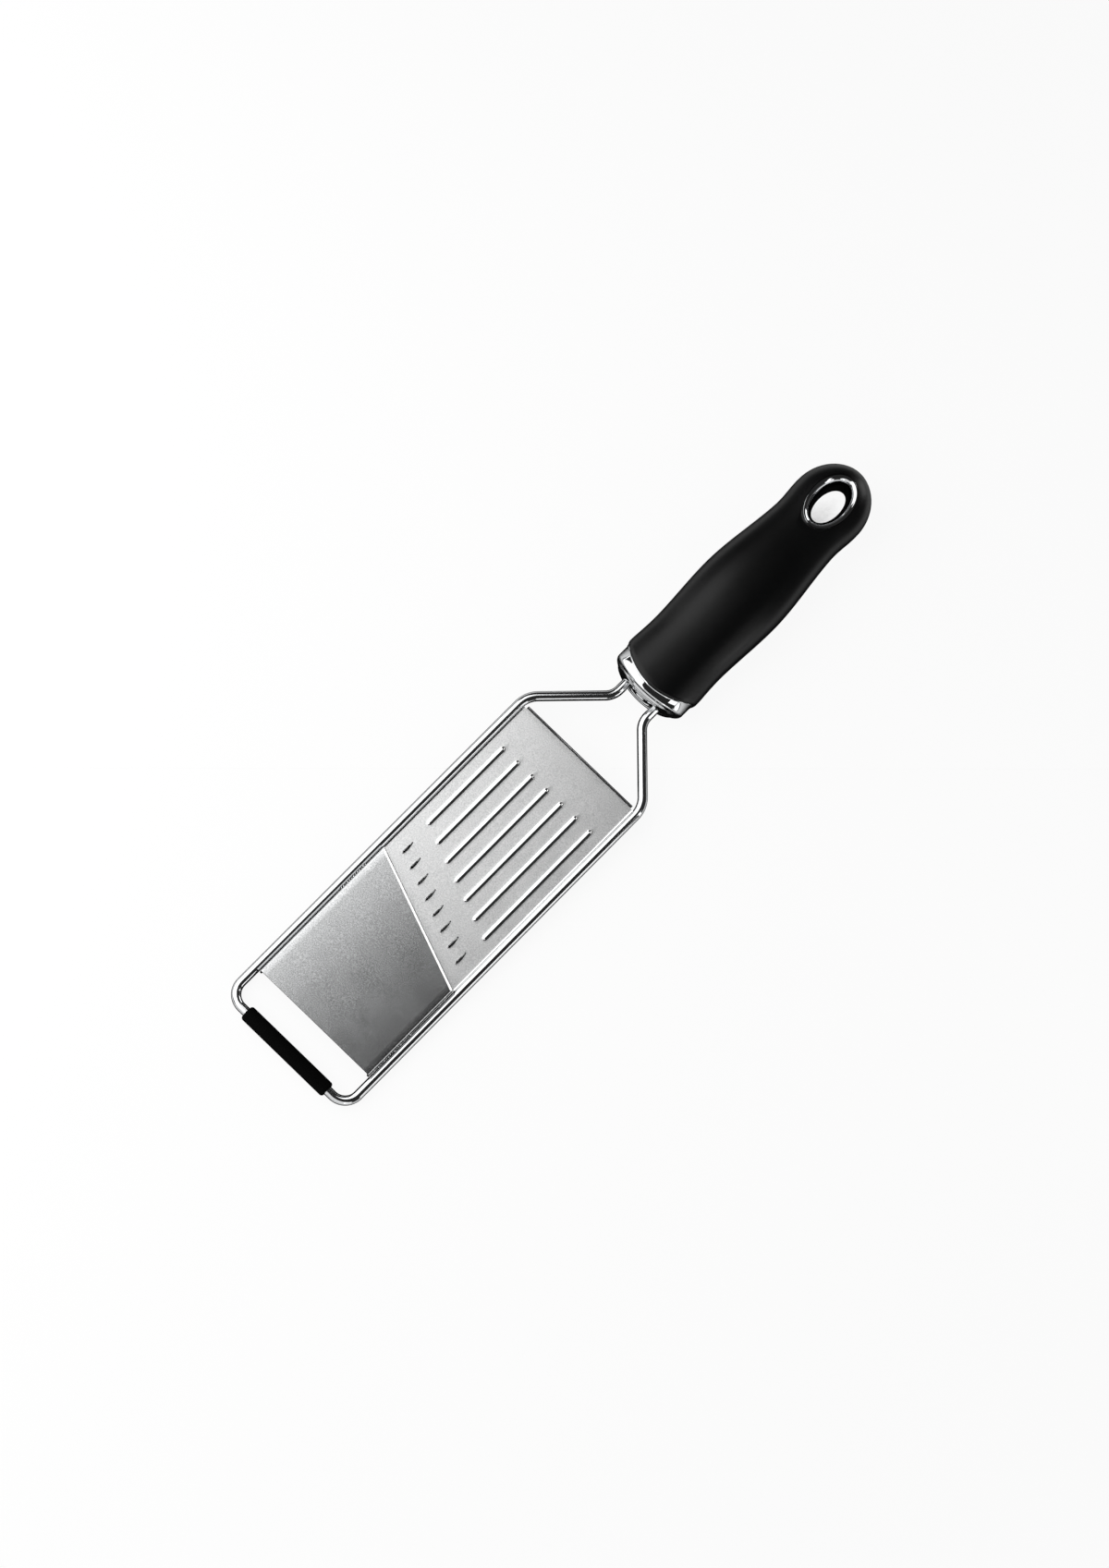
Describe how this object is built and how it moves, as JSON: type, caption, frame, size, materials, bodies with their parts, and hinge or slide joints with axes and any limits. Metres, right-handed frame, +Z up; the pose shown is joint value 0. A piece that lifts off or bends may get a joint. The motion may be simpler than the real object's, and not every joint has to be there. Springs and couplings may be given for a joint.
{
  "type": "julienne grater",
  "caption": "Hand-held julienne grater: ridged steel runway with lanced teeth, raised blade plate with a slanting ground edge, bent wire frame and soft grip with a hanging hole.",
  "frame": {"origin": "middle of the footprint, on the floor that the tool lies on", "axes": "+Y from the front bar to the tail of the handle, +Z up on the cutting side, +X to the right seen from above with the handle away"},
  "size_m": [0.067, 0.3252, 0.0251],
  "materials": {
    "bright_wire": "polished drawn stainless steel wire",
    "satin_sheet": "fine-grained satin stainless steel sheet",
    "blade_sheet": "rolled stainless steel sheet with a bright ground edge",
    "bright_plate": "mirror-bright plating",
    "soft_grip": "matte black soft-touch moulding",
    "foot_rubber": "matte black rubber",
    "core_plastic": "moulded dark plastic"
  },
  "bodies": {
    "root": {"wire_frame": "bright_wire", "runway_plate": "satin_sheet", "blade_plate": "blade_sheet", "front_foot": "foot_rubber", "ferrule": "bright_plate", "core_lower": "core_plastic", "core_upper": "core_plastic", "grip": "soft_grip", "eyelet_upper": "bright_plate", "eyelet_lower": "bright_plate"}
  },
  "joints": []
}
